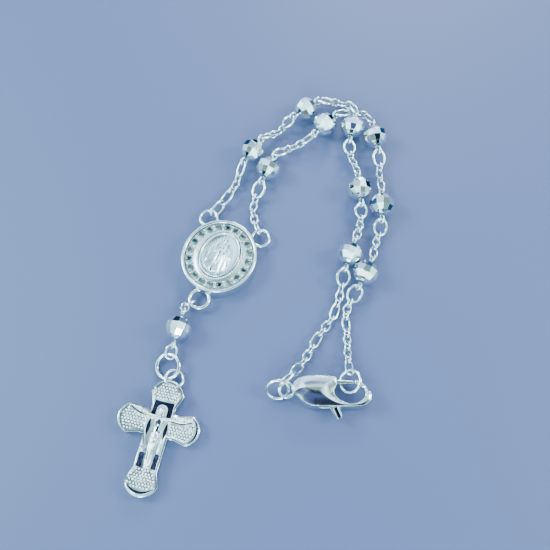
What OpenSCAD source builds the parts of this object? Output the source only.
// A rosary bracelet laid flat: an oval medal, two strands of beads and chain that end at a
// lobster clasp, and a short tail with a cross. Millimetres, resting on z = 0, figure side up.

/* [Beads] */
// Diameter of a bead over the corners of its facets
bead_d = 4; // [3.6:0.1:4.4]
// Bore along a bead
bead_bore = 0.7; // [0.6:0.05:0.9]
// Facets round a bead
bead_facets = 10; // [8:1:16]

/* [Eye pins] */
// Wire of the loops at both ends of a pin
pin_wire = 0.36; // [0.3:0.02:0.44]
// Outer width of a pin's loop
pin_loop = 1.6; // [1.4:0.05:1.8]
// Pin length between the bead and the joint with the next link
pin_neck = 1; // [0.9:0.05:1.2]

/* [Links] */
// Outer width of a round link beside a bead
ring_w = 2.7; // [2.3:0.1:3]
// Wire of a round link
ring_wire = 0.4; // [0.34:0.02:0.46]
// Outer width of a small link
small_w = 1.52; // [1.3:0.02:1.7]
// Wire of a small link
small_wire = 0.28; // [0.22:0.02:0.32]
// Outer width of a long link
long_w = 1.65; // [1.4:0.05:1.9]
// Wire of a long link
long_wire = 0.32; // [0.26:0.02:0.36]
// Outer width of the link at the clasp's jump ring
end_w = 2.2; // [1.9:0.1:2.3]
// Wire of the link at the clasp's jump ring
end_wire = 0.34; // [0.28:0.02:0.38]
// Outer width of the links at both ends of the tail
tail_w = 2; // [1.9:0.1:2.2]
// Wire of the links at both ends of the tail
tail_wire = 0.32; // [0.26:0.02:0.36]
// Outer width of the oval links at the medal's ear
oval_w = 2.2; // [2:0.1:2.4]
// Wire of the oval links at the medal's ear
oval_wire = 0.38; // [0.3:0.02:0.42]
// Slack between two links at their joint
link_gap = 0.23; // [0.16:0.01:0.26]
// Slack between a link and a ring or ear at a strand's end
ring_gap = 0.32; // [0.22:0.02:0.36]

/* [Medal] */
// Length of the medal along its figure
medal_l = 12.6; // [11.5:0.1:14]
// Width of the medal
medal_w = 11.9; // [11:0.1:13]
// Thickness of the medal at its rim
medal_h = 2.4; // [2:0.1:2.6]
// Width of the rim
rim_w = 0.6; // [0.45:0.05:0.7]
// Length of the oval field inside the stones
field_l = 8; // [7.6:0.1:8.2]
// Width of the oval field
field_w = 6.3; // [6:0.1:6.6]
// Shift of the oval field towards the figure's head
field_up = 0.2; // [0:0.05:0.2]
// Width of the ridge round the field
ridge_w = 0.4; // [0.3:0.05:0.5]
// Stones in the ring
stone_count = 20; // [16:1:21]
// Diameter of a stone
stone_d = 1.1; // [0.9:0.05:1.2]
// Outer diameter of an ear
ear_d = 3.3; // [3:0.1:3.5]
// Wire of an ear
ear_wire = 0.5; // [0.4:0.05:0.6]
// Outer diameter of the bottom loop
loop_d = 3.6; // [3.3:0.1:4]
// Wire of the bottom loop
loop_wire = 0.6; // [0.5:0.05:0.7]

/* [Cross] */
// Height of the cross
cross_l = 17.1; // [15:0.1:18]
// Width over the arms
cross_w = 12.4; // [12:0.1:14]
// Thickness of the cross
cross_h = 1.8; // [1.5:0.1:2.1]
// Width of a bar between its flared ends
bar_w = 3.6; // [3.2:0.1:3.8]
// Width of the flared ends of the upright
flare_w = 5.1; // [4.6:0.1:5.6]
// Width of the flared ends of the arms
arm_flare_w = 4.6; // [4.2:0.1:5]
// Outer diameter of the cross's eye
eye_d = 3.2; // [3:0.1:3.5]
// Wire of the cross's eye
eye_wire = 0.5; // [0.4:0.05:0.55]

/* [Jump rings] */
// Outer diameter of the ring in the clasp's eye
clasp_ring_d = 3.7; // [3.6:0.05:3.9]
// Outer diameter of the ring that the clasp holds
end_ring_d = 3.85; // [3.7:0.05:4]
// Outer diameter of the ring in the cross's eye
cross_ring_d = 4.3; // [4.1:0.1:4.5]
// Wire of the rings at the clasp
ring_at_clasp_wire = 0.5; // [0.4:0.05:0.55]
// Wire of the ring in the cross's eye
cross_ring_wire = 0.6; // [0.5:0.05:0.65]

/* [Clasp] */
// Length of the clasp's body without its eye
clasp_l = 11.5; // [11:0.1:13]
// Width of the clasp's body
clasp_w = 4.6; // [4.3:0.1:5]
// Thickness of the clasp's body
clasp_h = 3.1; // [3:0.1:3.6]
// Height by which the clasp's faces are domed
clasp_dome = 0.35; // [0.2:0.05:0.5]
// Outer diameter of the clasp's eye
clasp_eye_d = 2.6; // [2.5:0.05:2.8]
// Wire of the clasp's eye
clasp_eye_wire = 0.5; // [0.4:0.05:0.55]
// Diameter of the lever's pin
pivot_d = 0.8; // [0.6:0.05:0.9]
// Thickness of the lever
lever_h = 0.7; // [0.6:0.05:0.8]
// Width of the lever's gate
gate_w = 0.6; // [0.5:0.05:0.7]
// Length of the thumb tab outside the body
tab_l = 1.7; // [1.2:0.1:2]

/* [Hidden] */
NUMBERS = ["01", "02", "03", "04", "05", "06", "07", "08", "09", "10", "11"];
BEADS = [for (n = NUMBERS) str("bead_", n)];
PINS = [for (n = NUMBERS) str("eye_pin_", n)];

// Medal: its place, its own frame with the figure upright along y, and the bottom loop's centre in it
medal_at = [-7.3, 2.9];
medal_turn = -23;
loop_sink = 0.6;
loop_centre = [0, -medal_l / 2 - loop_d / 2 + loop_sink];
function on_medal(p, z) =
    let (c = cos(medal_turn), s = sin(medal_turn))
    [medal_at.x + c * p.x - s * p.y, medal_at.y + s * p.x + c * p.y, z];
// The tail and the cross hang from this place
tail_at = on_medal(loop_centre, 0);

// Kinds of route points: an ordinary one, one with a bead, and the place where the strand passes over
PLAIN = 0;
BEAD = 1;
OVER = 2;

// Where the strands lie: chosen points x, y and kind, from the medal to the clasp, then the tail
ROUTES = [
    [
        [-7, 13, PLAIN], [-5, 16.5, PLAIN], [-4, 19.5, PLAIN], [-2.5, 22.5, BEAD],
        [-0.5, 25, PLAIN], [2, 26.5, PLAIN], [4, 28.5, PLAIN], [6.5, 31, BEAD],
        [9.5, 32.5, PLAIN], [12.5, 32.5, PLAIN], [15.5, 31, OVER], [14.5, 27, BEAD],
        [14, 23, PLAIN], [15, 19.5, PLAIN], [15.5, 15, BEAD], [15.5, 11, PLAIN],
        [15, 7.5, PLAIN], [13, 3.5, BEAD], [12, -1.5, PLAIN], [10.5, -6.5, PLAIN],
        [8, -10, PLAIN], [6, -13.5, PLAIN], [4.5, -15.5, PLAIN]
    ],
    [
        [-2, 10.5, PLAIN], [-2, 12.5, PLAIN], [-1, 15.5, PLAIN], [0, 19, BEAD],
        [2, 22, PLAIN], [4.5, 23.5, PLAIN], [7.5, 25, PLAIN], [10, 27.5, BEAD],
        [12, 29.5, PLAIN], [14.5, 30.5, PLAIN], [17.5, 29.5, PLAIN], [18.5, 25, BEAD],
        [19, 20.5, PLAIN], [19, 17, PLAIN], [19, 12, BEAD], [18.5, 8, PLAIN],
        [17.5, 5, PLAIN], [16.15, -0.1, BEAD], [14, -3, PLAIN], [12.5, -6, PLAIN],
        [12.5, -9, PLAIN], [12.5, -12, PLAIN], [12.5, -14, PLAIN]
    ],
    [[tail_at.x - 1.87, tail_at.y - 0.8, PLAIN], [tail_at.x - 2.87, tail_at.y - 4.95, BEAD]]
];

// Lowest joint height of the link at the clasp's jump ring
end_z = 1.4;
// Kinds of link, and a table of each kind's pitch, outer width, wire and lowest joint height
RING = 0;
SMALL = 1;
LONG = 2;
END = 3;
OVAL = 4;
TAIL = 5;
PIN = 6;
LINKS = [
    [2.0, ring_w, ring_wire, 0.7],
    [1.05, small_w, small_wire, 0.7],
    [1.8, long_w, long_wire, 0.7],
    [2.2, end_w, end_wire, end_z],
    [2.3, oval_w, oval_wire, 1.0],
    [1.5, tail_w, tail_wire, 1.0]
];

// Links of each strand, one group for each stretch between beads
S = SMALL;
L = LONG;
R = RING;
GROUPS = [
    [[OVAL, OVAL, S, S, S, L], [L, S, S, S, R], [R, S, S, S, L], [R, S, S, S, L],
     [R, S, S, S, L], [R, S, S, S, L, S, S, S, L, S, S, S, L, END]],
    [[L, S, S, S, S, R], [R, S, S, S, L], [R, S, S, S, L], [R, S, S, S, L],
     [R, S, S, S, L], [R, S, S, S, L, S, S, S, S, S, L]],
    [[TAIL, S], [TAIL]]
];

// Turn of every second link about its strand, and of the links between
roll_upright = 62;
roll_flat = roll_upright - 90;
// Slack at a pin's loop
pin_gap = link_gap + 0.04;
// Shank of a pin, a touch thinner than its loops
shank_d = pin_wire - 0.02;
// Depth of a pin's axis below the top of its bead's radius
pin_drop = 0.05;
// Half the length between a pin's two joints
pin_half = bead_d / 2 + pin_neck;
// Length over which a strand comes down from a bead to the ground
fall_l = 3.4;
// Height, half length and shift of the hump where one strand passes over the other
hump = [2.05, 3.5, 1.2];
// Steps between two points of a route
SPAN_STEPS = 12;
// Turn of each bead against the one before it
bead_turn = 13;

function reach(a, b, gap) = (a + b + 2 * gap) / 4;
function total(v, n) = n == 0 ? 0 : v[n - 1] + total(v, n - 1);
function flat(p) = [p.x, p.y];
function unit(v) = v / norm(v);
function micro(x) = round(x * 1000) / 1000;

// A smooth curve through points, and through the points of a closed outline
function curve_at(a, b, c, d, t) =
    (2 * b + (c - a) * t + (2 * a - 5 * b + 4 * c - d) * t * t + (3 * b - a - 3 * c + d) * t * t * t) / 2;
function smooth(p, n) =
    let (m = len(p) - 1)
    [for (i = [0:m - 1]) for (k = [0:n - 1])
        curve_at(p[max(i - 1, 0)], p[i], p[i + 1], p[min(i + 2, m)], k / n), p[m]];
function rounded(p, n) =
    let (m = len(p))
    [for (i = [0:m - 1]) for (k = [0:n - 1])
        curve_at(p[(i + m - 1) % m], p[i], p[(i + 1) % m], p[(i + 2) % m], k / n)];

// Running length at each point of a curve, and the point at a running length
function running(q) =
    [for (i = 0, s = 0; i < len(q); s = s + (i + 1 < len(q) ? norm(q[i + 1] - q[i]) : 0), i = i + 1) s];
function step_of(s, x, i = 0) = i >= len(s) - 2 || s[i + 1] > x ? i : step_of(s, x, i + 1);
function point_at(q, s, x) =
    let (i = step_of(s, x))
    q[i] + (q[i + 1] - q[i]) * (x - s[i]) / (s[i + 1] - s[i]);

// Height of a joint at distance d from an end of its stretch, coming down over a given length
function falling(d, top, low, over) = low + (top - low) * (1 - min(d / over, 1));
function lifted(z, s, at) =
    let (u = at == undef ? 1 : abs(s - at) / hump[1])
    u < 1 ? z + (hump[0] - z) * pow(cos(u * 90), 2) : z;

// One stretch of links: rows of kind, running length and height at both joints
function stretch(kinds, s0, s1, z0, z1) =
    let (
        pitch = [for (k = kinds) LINKS[k][0]],
        n = len(kinds),
        sum = total(pitch, n),
        over = min(fall_l, sum),
        run = [for (j = [0:n]) total(pitch, j)],
        z = [for (j = [0:n])
            let (low = max(LINKS[kinds[max(j - 1, 0)]][3], LINKS[kinds[min(j, n - 1)]][3]))
            max(falling(run[j], z0, low, over), falling(sum - run[j], z1, low, over))]
    )
    [for (j = [0:n - 1]) [kinds[j], s0 + (s1 - s0) * run[j] / sum, s0 + (s1 - s0) * run[j + 1] / sum, z[j], z[j + 1]]];

// All elements of a strand, links and pins in order: kind, first joint, last joint
function strand(route, groups, from, to) =
    let (
        points = concat([flat(from)], [for (p = route) flat(p)], [flat(to)]),
        q = smooth(points, SPAN_STEPS),
        s = running(q),
        stops = [for (i = [0:len(route) - 1]) if (route[i][2] == BEAD) s[(i + 1) * SPAN_STEPS]],
        overs = [for (i = [0:len(route) - 1]) if (route[i][2] == OVER) s[(i + 1) * SPAN_STEPS]],
        at = len(overs) > 0 ? overs[0] + hump[2] : undef,
        last = len(groups) - 1,
        pin_z = bead_d / 2 - pin_drop,
        rows = [for (i = [0:last]) for (row = concat(
            stretch(
                groups[i],
                i == 0 ? 0 : stops[i - 1] + pin_half,
                i == last ? s[len(s) - 1] : stops[i] - pin_half,
                i == 0 ? from.z : pin_z,
                i == last ? to.z : pin_z
            ),
            i == last ? [] : [[PIN, stops[i] - pin_half, stops[i] + pin_half, pin_z, pin_z]]
        )) row]
    )
    [for (r = rows) [
        r[0],
        concat(point_at(q, s, r[1]), [lifted(r[3], r[1], at)]),
        concat(point_at(q, s, r[2]), [lifted(r[4], r[2], at)])
    ]];

function wire_of(kind) = kind == PIN ? pin_wire : LINKS[kind][2];
function roll_of(i) = i % 2 == 0 ? roll_upright : roll_flat;
function slack(a, b) = a == PIN || b == PIN ? pin_gap : link_gap;
// How far an element reaches past its joint with the neighbour at place j
function past(e, i, j, outer_wire) =
    j < 0 || j >= len(e)
        ? reach(wire_of(e[i][0]), outer_wire, ring_gap)
        : reach(wire_of(e[i][0]), wire_of(e[j][0]), slack(e[i][0], e[j][0]));

// Puts its children with +x along a joint pair and +y across, turned about that line
module along(a, b, roll) {
    u = unit(b - a);
    h = unit(cross([0, 0, 1], u));
    w = h * cos(roll) + cross(u, h) * sin(roll);
    n = cross(u, w);
    c = (a + b) / 2;
    multmatrix([
        [u.x, w.x, n.x, c.x],
        [u.y, w.y, n.y, c.y],
        [u.z, w.z, n.z, c.z],
        [0, 0, 0, 1]
    ]) children();
}

// A ring of round wire, lying flat
module wire_ring(outer_d, wire) {
    rotate_extrude($fn = 48) translate([(outer_d - wire) / 2, 0]) circle(d = wire, $fn = 24);
}

// A link of round wire with round ends, lying flat along x, its bends and straights on whole micrometres
module link(length, width, wire) {
    r = micro((min(width, length) - wire) / 2);
    straight = micro((length - wire) / 2 - r);
    for (side = [0, 180]) rotate(side) {
        translate([straight, 0, 0]) rotate(-90)
            rotate_extrude(angle = 180, $fn = 36) translate([r, 0]) circle(d = wire, $fn = 24);
        if (straight > 0) translate([-straight, r, 0]) rotate([0, 90, 0])
            cylinder(h = 2 * straight, d = wire, $fn = 24);
    }
}

// The links of a strand, without its pins
module links_of(e, first_wire, last_wire) {
    for (i = [0:len(e) - 1]) if (e[i][0] != PIN) {
        before = past(e, i, i - 1, first_wire);
        after = past(e, i, i + 1, last_wire);
        kind = LINKS[e[i][0]];
        length = norm(e[i][2] - e[i][1]) + before + after + kind[2];
        along(e[i][1], e[i][2], roll_of(i)) translate([(after - before) / 2, 0, 0]) link(length, kind[1], kind[2]);
    }
}

// A wire through a bead with a loop at each end
module pin_of(e, i) {
    half = norm(e[i][2] - e[i][1]) / 2;
    loop_r = (pin_loop - pin_wire) / 2;
    before = half + past(e, i, i - 1, small_wire) - loop_r;
    after = half + past(e, i, i + 1, small_wire) - loop_r;
    along(e[i][1], e[i][2], roll_of(i)) {
        translate([-before, 0, 0]) wire_ring(pin_loop, pin_wire);
        translate([after, 0, 0]) wire_ring(pin_loop, pin_wire);
        translate([loop_r - before, 0, 0]) rotate([0, 90, 0])
            cylinder(h = before + after - 2 * loop_r, d = shank_d, $fn = 24);
    }
}

// A bead cut in belts of flat facets, drilled along x
BELTS = [-64, -42, -16, 16, 42, 64];
module faceted_bead() {
    n = bead_facets;
    rows = len(BELTS);
    r = bead_d / 2;
    corners = [for (a = BELTS) for (k = [0:n - 1]) [
        r * sin(a), r * cos(a) * cos(k * 360 / n), r * cos(a) * sin(k * 360 / n)
    ]];
    sides = [for (j = [0:rows - 2]) for (k = [0:n - 1])
        [j * n + k, j * n + (k + 1) % n, (j + 1) * n + (k + 1) % n, (j + 1) * n + k]];
    caps = [[for (k = [0:n - 1]) n - 1 - k], [for (k = [0:n - 1]) (rows - 1) * n + k]];
    difference() {
        polyhedron(points = corners, faces = concat(sides, caps), convexity = 2);
        translate([-bead_d, 0, 0]) rotate([0, 90, 0]) cylinder(h = 2 * bead_d, d = bead_bore, $fn = 32);
    }
}

// Height of the ears' wire above the ground, and of the bottom loop's
eye_z = 1;
loop_z = 1.25;
// Thickness of the medal under the stones and under the figure
channel_h = medal_h - 0.3;
floor_h = medal_h - 1;
// Clearance round the inset figure and round a stone
inset_gap = 0.05;
stone_gap = 0.1;
// Distance from the medal's edge to the stones' centres
stone_in = rim_w + stone_gap + stone_d / 2 + 0.05;
// Angle of the ears from the medal's right side, and how far they sink into its edge
ear_angle = 50;
ear_sink = 0.4;

function oval(w, l, a) = [w / 2 * cos(a), l / 2 * sin(a)];
function ear_centre(side) =
    let (edge = oval(medal_w, medal_l, ear_angle))
    let (c = edge + unit(edge) * (ear_d / 2 - ear_sink))
    [side * c.x, c.y];
// Joint of a strand on a flat ring: inside its wire, towards the strand's next point
function joint_on(centre, ring_d, wire, link_wire, next) =
    let (u = unit(flat(next) - flat(centre)))
    let (r = (ring_d - wire) / 2 - reach(wire, link_wire, ring_gap))
    [centre.x + u.x * r, centre.y + u.y * r, centre.z];

module oval_disc(w, l, h) {
    linear_extrude(h) scale([w / 2, l / 2]) circle(r = 1, $fn = 96);
}

module at_medal() {
    translate([medal_at.x, medal_at.y, 0]) rotate(medal_turn) children();
}

// Puts its children at each stone, or half way between two stones
module round_stones(offset = 0) {
    for (k = [0:stone_count - 1])
        translate(oval(medal_w - 2 * stone_in, medal_l - 2 * stone_in, (k + 0.5 + offset) * 360 / stone_count))
            children();
}

// A dome of metal that holds two stones
grain_d = 0.42;
module grain() {
    cylinder(h = channel_h - floor_h, d = grain_d, $fn = 16);
    translate([0, 0, channel_h - floor_h]) sphere(d = grain_d, $fn = 16);
}

module medal_frame() {
    color("silver") at_medal() {
        difference() {
            union() {
                oval_disc(medal_w, medal_l, channel_h);
                difference() {
                    oval_disc(medal_w, medal_l, medal_h);
                    translate([0, 0, floor_h]) oval_disc(medal_w - 2 * rim_w, medal_l - 2 * rim_w, medal_h);
                }
                translate([0, field_up, 0]) oval_disc(field_w, field_l, medal_h + 0.1);
                translate([0, 0, floor_h]) round_stones(0.5) for (side = [-1, 1])
                    translate([0, side * grain_d * 0.8, 0]) grain();
            }
            translate([0, field_up, floor_h]) oval_disc(field_w - 2 * ridge_w, field_l - 2 * ridge_w, medal_h);
            translate([0, 0, floor_h]) round_stones() cylinder(h = medal_h, d = stone_d + 2 * stone_gap, $fn = 24);
        }
        for (side = [-1, 1]) translate([ear_centre(side).x, ear_centre(side).y, eye_z]) wire_ring(ear_d, ear_wire);
        translate([loop_centre.x, loop_centre.y, loop_z]) wire_ring(loop_d, loop_wire);
    }
}

// A cut stone: point down, eight crown facets and a table
module stone() {
    girdle = stone_d / 2;
    depth = 0.42 * stone_d;
    crown = 0.16 * stone_d;
    table = 0.56 * girdle;
    n = 8;
    corners = concat(
        [[0, 0, -depth]],
        [for (k = [0:n - 1]) [girdle * cos(k * 360 / n), girdle * sin(k * 360 / n), 0]],
        [for (k = [0:n - 1]) [table * cos(k * 360 / n), table * sin(k * 360 / n), crown]]
    );
    below = [for (k = [0:n - 1]) [0, 1 + (k + 1) % n, 1 + k]];
    above = [for (k = [0:n - 1]) [1 + k, 1 + (k + 1) % n, 1 + n + (k + 1) % n, 1 + n + k]];
    polyhedron(points = corners, faces = concat(below, above, [[for (k = [0:n - 1]) 1 + n + k]]), convexity = 2);
}

module medal_stones() {
    color("darkslategray") at_medal() translate([0, 0, channel_h - 0.05]) round_stones() stone();
}

// The figure: rows of centre x, y and half sizes x, y, z, as shares of the field's half width and length
plate_h = 0.5;
field_in = 2 * (ridge_w + inset_gap);
module lump(row) {
    fw = (field_w - field_in) / 2;
    fl = (field_l - field_in) / 2;
    translate([row[0] * fw, row[1] * fl, 0]) scale([row[2] * fw, row[3] * fl, row[4]]) sphere(r = 1, $fn = 20);
}
module joined(rows) {
    hull() for (row = rows) lump(row);
}

module medal_relief() {
    color("silver") at_medal() translate([0, field_up, floor_h + inset_gap]) {
        oval_disc(field_w - field_in, field_l - field_in, plate_h);
        translate([0, 0, plate_h]) intersection() {
            union() {
                joined([[0, -0.62, 0.5, 0.16, 0.45], [0, 0.3, 0.34, 0.16, 0.65], [0, 0.5, 0.22, 0.1, 0.6]]);
                joined([[-0.3, 0.34, 0.1, 0.08, 0.6], [-0.42, -0.05, 0.1, 0.08, 0.55]]);
                joined([[0.3, 0.34, 0.1, 0.08, 0.6], [0.42, -0.05, 0.1, 0.08, 0.55]]);
                joined([[-0.42, -0.05, 0.09, 0.06, 0.6], [-0.03, 0.1, 0.08, 0.06, 0.95]]);
                joined([[0.42, -0.05, 0.09, 0.06, 0.6], [0.03, 0.1, 0.08, 0.06, 0.95]]);
                joined([[0, 0.68, 0.24, 0.14, 0.6], [0, 0.42, 0.3, 0.1, 0.45]]);
                translate([0, 0, 0.2]) lump([0, 0.65, 0.15, 0.11, 0.72]);
            }
            translate([-field_w, -field_l, -plate_h / 2]) cube([2 * field_w, 2 * field_l, 4]);
        }
    }
}

// Cross: its place, and its own frame with the crossing at the origin and the head end along y
cross_at = [tail_at.x - 5.12, tail_at.y - 19.22];
cross_turn = -13.8;
head_l = 0.382 * cross_l;
foot_l = cross_l - head_l;
// Height of the lower slab, and how far the upper one steps in from the edge
step_h = 1.2;
step_in = 0.25;
// Depth of the polished panels beside the corpus
panel_h = 0.4;
panel_side = 0.25;

// Shares of a flare's width: its corners' depth from the end, and the run over which the bar widens
corner_share = 0.39;
run_share = 0.36;

// One bar from the crossing along y: it flares to two corners, with an arc over its end
module bar(length, flare, inset) {
    r = flare / 2 - inset;
    half = bar_w / 2 - inset;
    corner = length - corner_share * flare;
    run = run_share * flare;
    centre = length - inset - r;
    side = sqrt(pow(r, 2) - pow(corner - centre, 2));
    intersection() {
        union() {
            translate([0, centre]) circle(r = r, $fn = 96);
            translate([-2 * r, -half]) square([4 * r, centre + half]);
        }
        polygon([
            [-half, -half], [half, -half], [half, corner - run], [2 * side - half, corner + run],
            [half - 2 * side, corner + run], [-half, corner - run]
        ]);
    }
}

module cross_outline(inset) {
    bar(head_l, flare_w, inset);
    rotate(180) bar(foot_l, flare_w, inset);
    for (side = [90, -90]) rotate(side) bar(cross_w / 2, arm_flare_w, inset);
}

// The corpus: rows of x, y, z and half sizes x, y, z
module form(rows) {
    hull() for (row = rows) translate([row[0], row[1], row[2]])
        scale([row[3], row[4], row[5]]) sphere(r = 1, $fn = 16);
}

module corpus() {
    s = bar_w / 3.6;
    scale([s, s, s]) {
        form([[0, 0.75, 0, 0.78, 0.3, 0.5], [0.05, -0.6, 0, 0.5, 0.35, 0.6]]);
        form([[0.05, -1.15, 0, 0.62, 0.45, 0.62], [0, -2.1, 0, 0.5, 0.35, 0.6]]);
        form([[0, -2.1, 0, 0.48, 0.35, 0.6], [0.12, -3.9, 0, 0.34, 0.35, 0.75]]);
        form([[0.12, -3.9, 0, 0.34, 0.3, 0.75], [0.02, -6.2, 0, 0.26, 0.35, 0.45]]);
        form([[-0.7, 0.85, 0, 0.24, 0.22, 0.45], [-4.3, 1.45, 0, 0.2, 0.2, 0.5]]);
        form([[0.7, 0.85, 0, 0.24, 0.22, 0.45], [4.3, 1.3, 0, 0.2, 0.2, 0.5]]);
        translate([-0.1, 1.75, 0.15]) scale([0.5, 0.62, 0.75]) sphere(r = 1, $fn = 20);
    }
}

// Height of the corpus's middle above the panel, and length of the panel above and below the crossing
corpus_lift = 0.02;
panel_top = 0.52 * head_l;
panel_foot = 0.64 * foot_l;

module cross_body() {
    difference() {
        union() {
            linear_extrude(step_h) cross_outline(0);
            linear_extrude(cross_h) cross_outline(step_in);
        }
        translate([-bar_w / 2 + panel_side + step_in, -panel_foot, cross_h - panel_h])
            cube([bar_w - 2 * (panel_side + step_in), panel_foot + panel_top, cross_h]);
    }
    intersection() {
        translate([0, 0, cross_h - panel_h + corpus_lift]) corpus();
        translate([-cross_w, -cross_l, step_h - 0.2]) cube([2 * cross_w, 2 * cross_l, cross_h]);
    }
}

// Where the cross's eye and its jump ring lie, and the line that both tilt about
cross_ring_r = (cross_ring_d - cross_ring_wire) / 2;
eye_r = (eye_d - eye_wire) / 2;
cross_top = cross_at + head_l * [-sin(cross_turn), cos(cross_turn)];
eye_at = cross_top + [0.32, 0.34];
ring_line = unit([-1.05, 1.85]);
// The ring's far side passes this far from the eye's centre
ring_lap = 0.3;
cross_ring_at = eye_at + ring_line * (cross_ring_r + ring_lap);
ring_line_angle = atan2(ring_line.y, ring_line.x);
eye_tilt = 16;
cross_ring_tilt = -22;

module cross_piece() {
    color("silver") {
        translate([cross_at.x, cross_at.y, 0]) rotate(cross_turn) cross_body();
        translate([eye_at.x, eye_at.y, eye_z]) rotate(ring_line_angle) rotate([eye_tilt, 0, 0]) wire_ring(eye_d, eye_wire);
    }
}

module jump_ring_cross() {
    color("silver") translate([cross_ring_at.x, cross_ring_at.y, eye_z]) rotate(ring_line_angle)
        rotate([cross_ring_tilt, 0, 0]) wire_ring(cross_ring_d, cross_ring_wire);
}

// Clasp: the centre of its eye, and its mid height
clasp_at = [3.2, -18.4];
clasp_z = clasp_h / 2;
clasp_eye_r = (clasp_eye_d - clasp_eye_wire) / 2;
body_x = clasp_eye_r - 0.25;
half_w = clasp_w / 2;
// Middle line of the body below the eye's centre
body_y = -0.28;

// Outline of the body as shares of its length and its half width
CLAW = [
    [0, 0.28], [0.06, 0.7], [0.137, 0.92], [0.3, 0.98], [0.49, 0.92], [0.69, 0.8], [0.83, 0.74],
    [0.918, 0.5], [0.979, 0.1], [1, -0.32], [0.974, -0.7], [0.893, -0.94], [0.73, -1], [0.5, -1],
    [0.26, -0.95], [0.137, -0.7], [0.06, -0.34], [0, -0.12]
];
function on_body(p) = [body_x + p.x * clasp_l, body_y + p.y * half_w];
hole_centre = on_body([0.725, -0.1]);
hole_half = [0.2 * clasp_l, 0.355 * clasp_w];
hole_turn = -9;
mouth_from = on_body([0.56, 0]).x;
mouth_to = on_body([0.806, 0]).x;
mouth_y = on_body([0, 0.42]).y;
// Height of the hook's tip, thinner than the body so that a ring passes over it
tip_h = 1;
tip_from = on_body([0.74, 0]).x;
tip_slope = [on_body([0, -0.18]).y, on_body([0, 0.3]).y];
// Lever: its pivot, running clearances, and the gate's end
pivot_at = on_body([0.43, 0.1]);
pivot_fit = 0.02;
lever_fit = 0.05;
slot_gap = 0.1;
hub_r = 0.9;
gate_y = on_body([0, 0.66]).y;
gate_end = mouth_to - slot_gap;
tab_at = on_body([0.5, -1]);
tab_w = 1.5;
slot_h = lever_h + 2 * slot_gap;

module at_clasp() {
    translate([clasp_at.x, clasp_at.y, clasp_z]) children();
}

// The body's thickness seen along x: flat in the middle of each wall, domed above and below
module dome_solid() {
    r = (pow(half_w, 2) + pow(clasp_dome, 2)) / (2 * clasp_dome);
    intersection() {
        translate([0, body_y, clasp_h / 2 - r]) rotate([0, 90, 0]) cylinder(h = 3 * clasp_l, r = r, center = true, $fn = 256);
        translate([0, body_y, r - clasp_h / 2]) rotate([0, 90, 0]) cylinder(h = 3 * clasp_l, r = r, center = true, $fn = 256);
    }
}

// What is cut from the tip, above or below
module tip_cut() {
    translate([tip_from, 0, 0]) rotate([90, 0, 90]) linear_extrude(clasp_l) polygon([
        [tip_slope[0], clasp_h / 2], [tip_slope[1], tip_h / 2], [2 * half_w, tip_h / 2],
        [2 * half_w, clasp_h], [tip_slope[0], clasp_h]
    ]);
}

module clasp_body() {
    color("silver") at_clasp() {
        difference() {
            intersection() {
                linear_extrude(clasp_h, center = true) difference() {
                    polygon(rounded([for (p = CLAW) on_body(p)], 5));
                    translate(hole_centre) rotate(hole_turn) scale(hole_half) circle(r = 1, $fn = 72);
                    translate([mouth_from, mouth_y]) square([mouth_to - mouth_from, clasp_w]);
                }
                dome_solid();
            }
            tip_cut();
            mirror([0, 0, 1]) tip_cut();
            slot();
            translate([pivot_at.x, pivot_at.y, 0])
                cylinder(h = clasp_h - 1, d = pivot_d + 2 * pivot_fit, center = true, $fn = 32);
        }
        wire_ring(clasp_eye_d, clasp_eye_wire);
        translate([clasp_eye_r, 0, 0]) neck();
    }
}

// The bar between the eye and the body
module neck() {
    l = 1.2;
    translate([0, -0.12, 0]) rotate([0, 90, 0]) cylinder(h = l, d1 = clasp_eye_wire, d2 = 1.1, $fn = 32);
}

// Room for the lever between the body's two plates
module slot() {
    x0 = pivot_at.x - hub_r - slot_gap;
    translate([0, 0, -slot_h / 2]) linear_extrude(slot_h) polygon([
        [x0, 2 * half_w], [x0, -2 * half_w],
        [tab_at.x + tab_w, -2 * half_w], [tab_at.x + tab_w, tab_at.y + 0.6],
        [mouth_from, pivot_at.y], [mouth_from + hub_r / 2, pivot_at.y + hub_r / 2], [mouth_from + hub_r / 2, 2 * half_w]
    ]);
}

module clasp_pin() {
    color("silver") at_clasp() translate([pivot_at.x, pivot_at.y, 0])
        cylinder(h = clasp_h - 1.1, d = pivot_d, center = true, $fn = 32);
}

// Gate and thumb tab on one hub
module clasp_lever() {
    color("silver") at_clasp() translate([0, 0, -lever_h / 2]) difference() {
        union() {
            translate([pivot_at.x, pivot_at.y, 0]) cylinder(h = lever_h, r = hub_r, $fn = 48);
            linear_extrude(lever_h) polygon([
                [pivot_at.x - hub_r * 0.2, pivot_at.y], [pivot_at.x + hub_r * 0.5, gate_y + gate_w / 2],
                [gate_end - gate_w * 0.3, gate_y + gate_w * 0.2], [gate_end, gate_y - gate_w * 0.5],
                [pivot_at.x + hub_r * 1.3, gate_y - gate_w / 2], [pivot_at.x + hub_r * 0.9, pivot_at.y],
                [tab_at.x + tab_w * 0.75, tab_at.y], [tab_at.x + tab_w, tab_at.y - tab_l * 0.8],
                [tab_at.x + tab_w * 0.5, tab_at.y - tab_l], [tab_at.x - tab_w * 0.25, tab_at.y],
                [pivot_at.x - hub_r * 0.3, pivot_at.y - hub_r * 0.5]
            ]);
        }
        translate([pivot_at.x, pivot_at.y, -lever_h])
            cylinder(h = 3 * lever_h, d = pivot_d + 2 * lever_fit, $fn = 32);
    }
}

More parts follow.
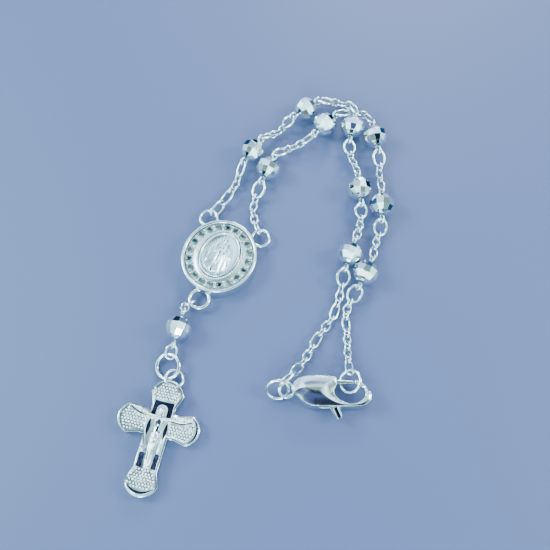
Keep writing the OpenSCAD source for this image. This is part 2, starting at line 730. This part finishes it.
// Jump rings at the clasp: places from the eye's and the gate's, tilts about x and about y
clasp_ring_r = (clasp_ring_d - ring_at_clasp_wire) / 2;
clasp_ring_tilt = 47;
clasp_ring_at = [clasp_at.x + 0.3 - clasp_ring_r, clasp_at.y + 0.1, clasp_z];
end_ring_r = (end_ring_d - ring_at_clasp_wire) / 2;
end_ring_tilt = -35;
end_ring_at = [clasp_at.x + (mouth_from + mouth_to) / 2 + 0.75, clasp_at.y + gate_y + 0.06, clasp_z + 0.1];

module jump_ring_clasp() {
    color("silver") translate(clasp_ring_at) rotate([clasp_ring_tilt, 0, 0]) wire_ring(clasp_ring_d, ring_at_clasp_wire);
}

module jump_ring_end() {
    color("silver") translate(end_ring_at) rotate([0, end_ring_tilt, 0]) wire_ring(end_ring_d, ring_at_clasp_wire);
}

// A point at an angle on a ring that is tilted about a level line
function on_tilted(centre, line, tilt, angle, r) =
    let (across = r * sin(angle) * cos(tilt))
    centre + [
        r * cos(angle) * cos(line) - across * sin(line),
        r * cos(angle) * sin(line) + across * cos(line),
        r * sin(angle) * sin(tilt)
    ];

// Joints at the strands' ends
clasp_joint_angle = 68;
cross_joint_angle = -43;
clasp_joint = on_tilted(
    clasp_ring_at, 0, clasp_ring_tilt, clasp_joint_angle, clasp_ring_r - reach(ring_at_clasp_wire, end_wire, ring_gap)
);
end_joint = end_ring_at + [0, end_ring_r - reach(ring_at_clasp_wire, long_wire, ring_gap), 0];
left_joint = joint_on(on_medal(ear_centre(-1), eye_z), ear_d, ear_wire, oval_wire, ROUTES[0][0]);
right_joint = joint_on(on_medal(ear_centre(1), eye_z), ear_d, ear_wire, long_wire, ROUTES[1][0]);
tail_joint = joint_on(on_medal(loop_centre, loop_z), loop_d, loop_wire, tail_wire, ROUTES[2][0]);
cross_joint = on_tilted(
    [cross_ring_at.x, cross_ring_at.y, eye_z], ring_line_angle, cross_ring_tilt, cross_joint_angle,
    cross_ring_r - reach(cross_ring_wire, tail_wire, ring_gap)
);

STRANDS = [
    strand(ROUTES[0], GROUPS[0], left_joint, clasp_joint),
    strand(ROUTES[1], GROUPS[1], right_joint, end_joint),
    strand(ROUTES[2], GROUPS[2], tail_joint, cross_joint)
];
// Every pin as strand and place in it, in the order of the bead names
HELD = [for (s = [0:2]) for (i = [0:len(STRANDS[s]) - 1]) if (STRANDS[s][i][0] == PIN) [s, i]];

module bead(k) {
    e = STRANDS[HELD[k][0]][HELD[k][1]];
    color("gainsboro") along(e[1], e[2], 0) rotate([k * bead_turn, 0, 0]) faceted_bead();
}

module eye_pin(k) {
    color("silver") pin_of(STRANDS[HELD[k][0]], HELD[k][1]);
}

module chain_left() {
    color("silver") links_of(STRANDS[0], ear_wire, ring_at_clasp_wire);
}

module chain_right() {
    color("silver") links_of(STRANDS[1], ear_wire, ring_at_clasp_wire);
}

module chain_tail() {
    color("silver") links_of(STRANDS[2], loop_wire, cross_ring_wire);
}

medal_frame();
medal_relief();
medal_stones();
chain_left();
chain_right();
chain_tail();
for (k = [0:10]) bead(k);
for (k = [0:10]) eye_pin(k);
jump_ring_clasp();
jump_ring_end();
jump_ring_cross();
cross_piece();  // cross
clasp_body();
clasp_pin();
clasp_lever();
